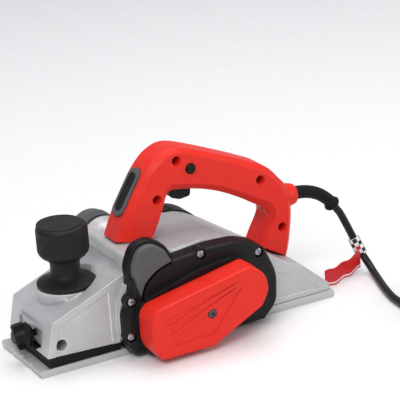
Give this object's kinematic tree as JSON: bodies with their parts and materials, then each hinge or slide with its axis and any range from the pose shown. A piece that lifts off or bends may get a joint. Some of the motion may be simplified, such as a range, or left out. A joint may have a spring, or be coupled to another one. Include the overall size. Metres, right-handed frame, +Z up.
{
  "type": "electric hand planer",
  "caption": "Hand-held electric planer with a closed D-shaped handle, a belt-driven cutter drum between two shoes, a fluted depth knob and a mains cord.",
  "frame": {"origin": "centre of the rear shoe's sole, on the surface that the tool stands on", "axes": "+X towards the tail, against the direction of travel; +Y towards the motor side, away from the belt side; +Z up, out of the sole"},
  "size_m": [0.4253, 0.2376, 0.164],
  "materials": {
    "cast_aluminium": "cast and machined, satin",
    "black_plastic": "semi-matt moulded",
    "charcoal_plastic": "fine-textured moulded",
    "grey_plastic": "moulded, light grain",
    "red_plastic": "glossy moulded",
    "black_rubber": "matt",
    "red_tag": null,
    "steel": "turned and zinc-plated",
    "dark_iron": "blued",
    "copper": "bare"
  },
  "bodies": {
    "planer": {"badge_plate": "grey_plastic", "belt_cover": "red_plastic", "belt_cover_screw": "steel", "belt_housing": "black_plastic", "body_casting": "cast_aluminium", "brush_cap_1": "black_plastic", "brush_cap_2": "black_plastic", "brush_holder_1": "copper", "brush_holder_2": "copper", "chip_hood_near": "grey_plastic", "chip_outlet_far": "grey_plastic", "cord": "black_rubber", "cord_coil": "black_rubber", "cord_guard": "black_rubber", "cord_tag": "red_tag", "drive_belt": "black_rubber", "drum_bearing_far": "steel", "drum_bearing_near": "steel", "drum_end_cap": "black_plastic", "field_winding_far": "copper", "field_winding_near": "copper", "handle_left": "red_plastic", "handle_right": "red_plastic", "handle_screw_1": "steel", "handle_screw_2": "steel", "handle_screw_3": "steel", "handle_screw_4": "steel", "housing_screw_1": "steel", "housing_screw_2": "steel", "housing_screw_3": "steel", "housing_screw_4": "steel", "motor_bearing_far": "steel", "motor_bearing_near": "steel", "motor_cover": "black_plastic", "power_plug": "black_rubber", "rear_shoe": "cast_aluminium", "shoe_screw_1": "steel", "shoe_screw_2": "steel", "shoe_seal": "black_rubber", "shoe_spring": "steel", "stator_core": "dark_iron", "switch_body": "black_plastic", "trigger_pin": "steel"},
    "front_shoe": {"front_shoe": "cast_aluminium"},
    "depth_knob": {"depth_knob": "charcoal_plastic", "depth_stud": "steel"},
    "drum": {"cutter_drum": "cast_aluminium", "blade_1": "steel", "blade_2": "steel", "blade_clamp_1": "dark_iron", "blade_clamp_2": "dark_iron", "drum_pulley": "cast_aluminium"},
    "armature": {"armature_shaft": "steel", "armature_core": "dark_iron", "commutator": "copper", "cooling_fan": "black_plastic", "motor_pulley": "steel"},
    "trigger": {"trigger": "black_plastic"},
    "lock_button": {"lock_button": "black_plastic"},
    "clamp_bolt": {"guide_clamp_bolt": "black_plastic"}
  },
  "joints": [
    {"name": "shoe_lift", "type": "slide", "parent": "planer", "child": "front_shoe", "axis": [0, 0, 1], "range_m": [0, 0.0025], "deforming": ["shoe_seal", "shoe_spring"]},
    {"name": "depth_turn", "type": "hinge", "parent": "front_shoe", "child": "depth_knob", "pos_m": [-0.1556, 0, 0.0613], "axis": [0, 0, 1], "range_deg": [0, 300]},
    {"name": "drum_spin", "type": "hinge", "parent": "planer", "child": "drum", "pos_m": [-0.1, 0, 0.0275], "axis": [0, 1, 0], "continuous": true},
    {"name": "armature_spin", "type": "hinge", "parent": "planer", "child": "armature", "pos_m": [-0.033, 0, 0.05], "axis": [0, 1, 0], "continuous": true},
    {"name": "trigger_pull", "type": "hinge", "parent": "planer", "child": "trigger", "pos_m": [-0.053, 0, 0.1305], "axis": [0, -1, 0], "range_deg": [0, 10], "stiffness_Nm_per_rad": 0.2, "springref_deg": -2.86},
    {"name": "lock_push", "type": "slide", "parent": "planer", "child": "lock_button", "axis": [0, 1, 0], "range_m": [0, 0.0022], "stiffness_N_per_m": 200, "springref_m": -0.001},
    {"name": "clamp_turn", "type": "hinge", "parent": "planer", "child": "clamp_bolt", "pos_m": [-0.205, 0, 0.0245], "axis": [1, 0, 0], "range_deg": [0, 180]}
  ],
  "couplings": [
    {"joint": "depth_turn", "follows": "shoe_lift", "rad_per_m": 2094.4},
    {"joint": "armature_spin", "follows": "drum_spin", "ratio": 1.5294}
  ]
}
